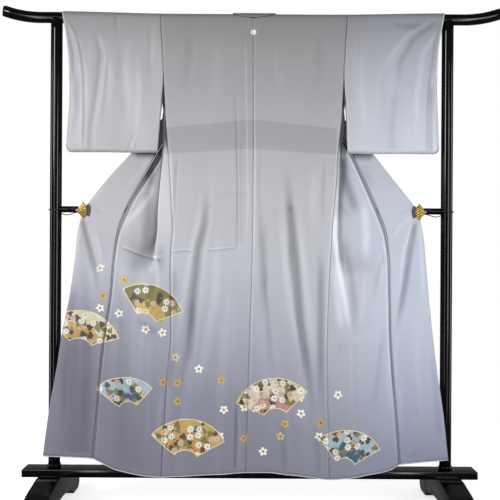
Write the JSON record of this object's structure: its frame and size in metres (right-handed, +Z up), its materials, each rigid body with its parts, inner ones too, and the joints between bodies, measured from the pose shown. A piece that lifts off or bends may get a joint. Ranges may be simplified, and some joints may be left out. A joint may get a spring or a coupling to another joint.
{
  "type": "tomesode kimono on a lacquered kimono stand",
  "caption": "Formal silk kimono in shaded grey-blue, hung by its shoulder fold on a black lacquered kimono stand and seen from its back, its fronts held out by gold fan clips",
  "frame": {"origin": "on the floor, midway between the rail's ends and midway between the fronts and backs of the feet", "axes": "+X runs along the rail to the wearer's right, +Y runs away from the viewer of the kimono's back, +Z is up"},
  "size_m": [1.7366, 0.58, 1.7418],
  "materials": {
    "silk": "satin",
    "lining": "satin",
    "lacquer": "gloss lacquer",
    "gold": "polished",
    "padding": "matte",
    "elastic": "matte"
  },
  "bodies": {
    "root": {"body_left": "silk", "body_right": "silk", "okumi_left": "silk", "okumi_right": "silk", "sleeve_left": "silk", "sleeve_right": "silk", "collar_left": "silk", "collar_right": "silk", "over_collar": "silk", "hem_roll_back_left": "lining", "hem_roll_front_left": "lining", "hem_roll_okumi_left": "lining", "hem_roll_back_right": "lining", "hem_roll_front_right": "lining", "hem_roll_okumi_right": "lining", "top_rail": "lacquer", "mid_rail": "lacquer", "base_beam": "lacquer", "post_left": "lacquer", "post_collar_left": "lacquer", "foot_left": "lacquer", "post_right": "lacquer", "post_collar_right": "lacquer", "foot_right": "lacquer", "clip_left": "gold", "clip_right": "gold", "clip_pad_left": "padding", "clip_pad_right": "padding", "clip_loop_left": "elastic", "clip_loop_right": "elastic"}
  },
  "joints": []
}
